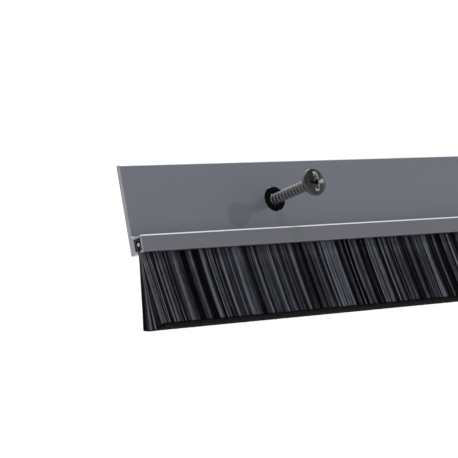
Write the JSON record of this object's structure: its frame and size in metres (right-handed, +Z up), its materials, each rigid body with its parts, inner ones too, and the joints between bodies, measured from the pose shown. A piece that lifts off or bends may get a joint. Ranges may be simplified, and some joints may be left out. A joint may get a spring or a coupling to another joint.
{
  "type": "brush door sweep",
  "caption": "Brush strip door sweep: flat screw-on metal flange with a pocket at its foot that holds a slide-in, flared black bristle strip.",
  "frame": {"origin": "on the carrier's flat back face, half way along the strip, level with the screw line", "axes": "+X along the strip, +Y out of the back face into the door leaf, +Z up; the bristles hang towards -Z"},
  "size_m": [1, 0.0493, 0.0565],
  "materials": {
    "carrier_aluminium": "satin anodised, faintly glossy",
    "holder_steel": "dull dark galvanised",
    "wire_steel": "drawn",
    "root_filament": "packed fine filament",
    "bristle_filament": "fine straight filament, soft sheen along its length",
    "screw_steel": "dark, semi-gloss",
    "bush_nylon": "matt black moulded"
  },
  "bodies": {
    "carrier_body": {"carrier": "carrier_aluminium", "screw_bush_1": "bush_nylon", "screw_bush_2": "bush_nylon", "screw_bush_3": "bush_nylon", "screw_bush_4": "bush_nylon", "screw_bush_5": "bush_nylon", "screw_bush_6": "bush_nylon"},
    "brush_insert": {"brush_holder": "holder_steel", "core_wire": "wire_steel", "bristle_root": "root_filament"},
    "bristle_strip": {"bristles": "bristle_filament"},
    "screw_1_body": {"screw_1": "screw_steel"},
    "screw_2_body": {"screw_2": "screw_steel"},
    "screw_3_body": {"screw_3": "screw_steel"},
    "screw_4_body": {"screw_4": "screw_steel"},
    "screw_5_body": {"screw_5": "screw_steel"},
    "screw_6_body": {"screw_6": "screw_steel"}
  },
  "joints": [
    {"name": "brush_slide", "type": "slide", "parent": "carrier_body", "child": "brush_insert", "axis": [1, 0, 0], "range_m": [0, 0.95]},
    {"name": "bristle_flex", "type": "hinge", "parent": "brush_insert", "child": "bristle_strip", "pos_m": [0, -0.00485, -0.0181], "axis": [1, 0, 0], "range_deg": [-40, 40], "stiffness_Nm_per_rad": 0.5},
    {"name": "screw_1_travel", "type": "slide", "parent": "carrier_body", "child": "screw_1_body", "axis": [0, 1, 0], "range_m": [0, 0.022]},
    {"name": "screw_2_travel", "type": "slide", "parent": "carrier_body", "child": "screw_2_body", "axis": [0, -1, 0], "range_m": [0, 0.022]},
    {"name": "screw_3_travel", "type": "slide", "parent": "carrier_body", "child": "screw_3_body", "axis": [0, -1, 0], "range_m": [0, 0.022]},
    {"name": "screw_4_travel", "type": "slide", "parent": "carrier_body", "child": "screw_4_body", "axis": [0, -1, 0], "range_m": [0, 0.022]},
    {"name": "screw_5_travel", "type": "slide", "parent": "carrier_body", "child": "screw_5_body", "axis": [0, -1, 0], "range_m": [0, 0.022]},
    {"name": "screw_6_travel", "type": "slide", "parent": "carrier_body", "child": "screw_6_body", "axis": [0, -1, 0], "range_m": [0, 0.022]}
  ]
}
